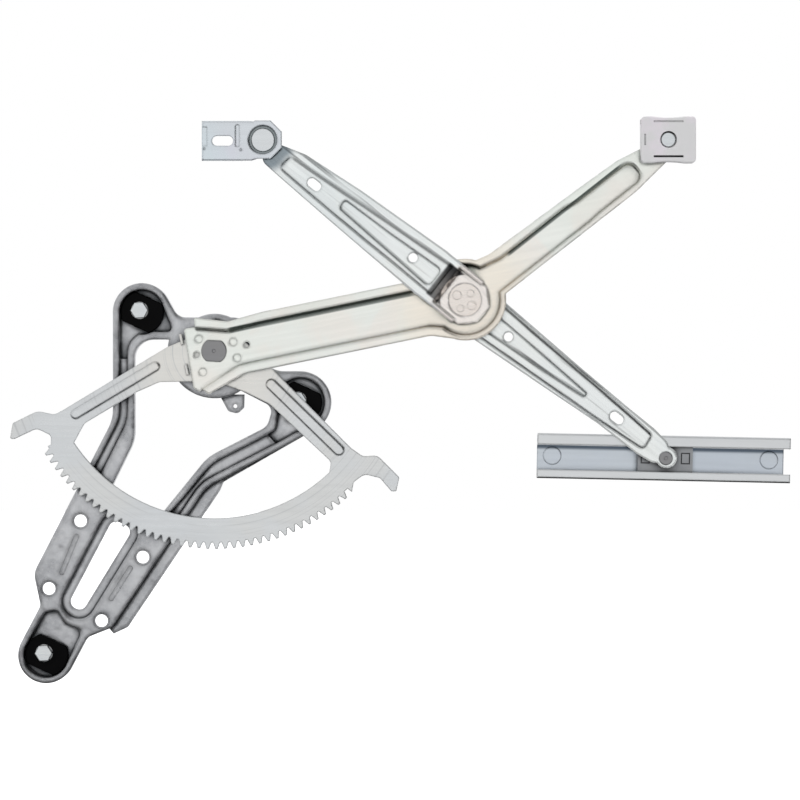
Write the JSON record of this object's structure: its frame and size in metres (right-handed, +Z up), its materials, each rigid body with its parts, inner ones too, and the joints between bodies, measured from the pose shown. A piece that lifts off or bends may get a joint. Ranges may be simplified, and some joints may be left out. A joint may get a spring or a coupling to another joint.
{
  "type": "window regulator",
  "caption": "Crossed-arm car window lifter: toothed sector and lift arm on a slotted base plate, with a crossing arm, glass slider, glass bracket and guide rail.",
  "frame": {"origin": "where the upper mounting stud's axis crosses the door panel's face, under the upper bush", "axes": "+X to the right along the door and +Z up, both as seen from the mechanism's front; +Y into the door panel, along the mounting studs"},
  "size_m": [0.5046, 0.0486, 0.365],
  "materials": {
    "bright_zinc": "bright zinc plate with faint yellow and blue tints",
    "cast_grey_zinc": "mottled dark galvanised sheet",
    "blue_zinc": "satin blue-passivated zinc",
    "plain_steel": "satin plated steel",
    "bearing_steel": "satin",
    "black_rubber": "satin black",
    "natural_nylon": "waxy translucent white",
    "grey_nylon": "matte grey"
  },
  "bodies": {
    "plate": {"base_plate": "cast_grey_zinc", "mount_bush_upper": "black_rubber", "mount_bush_right": "black_rubber", "mount_bush_foot": "black_rubber", "bush_sleeve_upper": "plain_steel", "bush_sleeve_right": "plain_steel", "bush_sleeve_foot": "plain_steel", "mounting_bolt_upper": "plain_steel", "mounting_bolt_right": "plain_steel", "mounting_bolt_foot": "plain_steel", "pivot_bush": "bearing_steel", "pivot_washer": "bearing_steel"},
    "lift": {"lift_arm": "bright_zinc", "sector_gear": "bright_zinc", "pivot_shaft": "plain_steel", "pivot_retainer": "plain_steel", "centre_bearing_ring": "bearing_steel", "glass_slider_pin": "plain_steel"},
    "equaliser": {"equaliser_arm_upper": "bright_zinc", "equaliser_arm_lower": "bright_zinc", "centre_hub": "plain_steel", "centre_rivets": "plain_steel", "bracket_washer": "bearing_steel", "bracket_rivet": "plain_steel", "shoe_pin": "plain_steel"},
    "slider": {"glass_slider": "natural_nylon"},
    "bracket": {"glass_bracket": "blue_zinc"},
    "shoe": {"rail_shoe": "grey_nylon"},
    "rail": {"guide_rail": "blue_zinc", "rail_stud_left": "blue_zinc", "rail_stud_right": "blue_zinc"}
  },
  "joints": [
    {"name": "lift", "type": "hinge", "parent": "plate", "child": "lift", "pos_m": [0.0488, -0.0146, -0.0265], "axis": [0, -1, 0], "range_deg": [-70, 26]},
    {"name": "scissor", "type": "hinge", "parent": "lift", "child": "equaliser", "pos_m": [0.21078, -0.0168, 0.00646], "axis": [0, -1, 0], "range_deg": [-52, 140]},
    {"name": "glass_slider_swivel", "type": "hinge", "parent": "lift", "child": "slider", "pos_m": [0.34068, -0.028, 0.10868], "axis": [0, -1, 0], "range_deg": [-26, 70]},
    {"name": "bracket_swivel", "type": "hinge", "parent": "equaliser", "child": "bracket", "pos_m": [0.08088, -0.028, 0.10868], "axis": [0, -1, 0], "range_deg": [-70, 26]},
    {"name": "shoe_swivel", "type": "hinge", "parent": "equaliser", "child": "shoe", "pos_m": [0.34068, -0.008, -0.09577], "axis": [0, -1, 0], "range_deg": [-70, 26]},
    {"name": "rail_slide", "type": "slide", "parent": "shoe", "child": "rail", "axis": [0.9998, 0, -0.0209], "range_m": [-0.042, 0.062]}
  ],
  "couplings": [
    {"joint": "scissor", "follows": "lift", "ratio": -2},
    {"joint": "glass_slider_swivel", "follows": "lift", "ratio": -1},
    {"joint": "bracket_swivel", "follows": "lift", "ratio": 1},
    {"joint": "shoe_swivel", "follows": "lift", "ratio": 1}
  ]
}
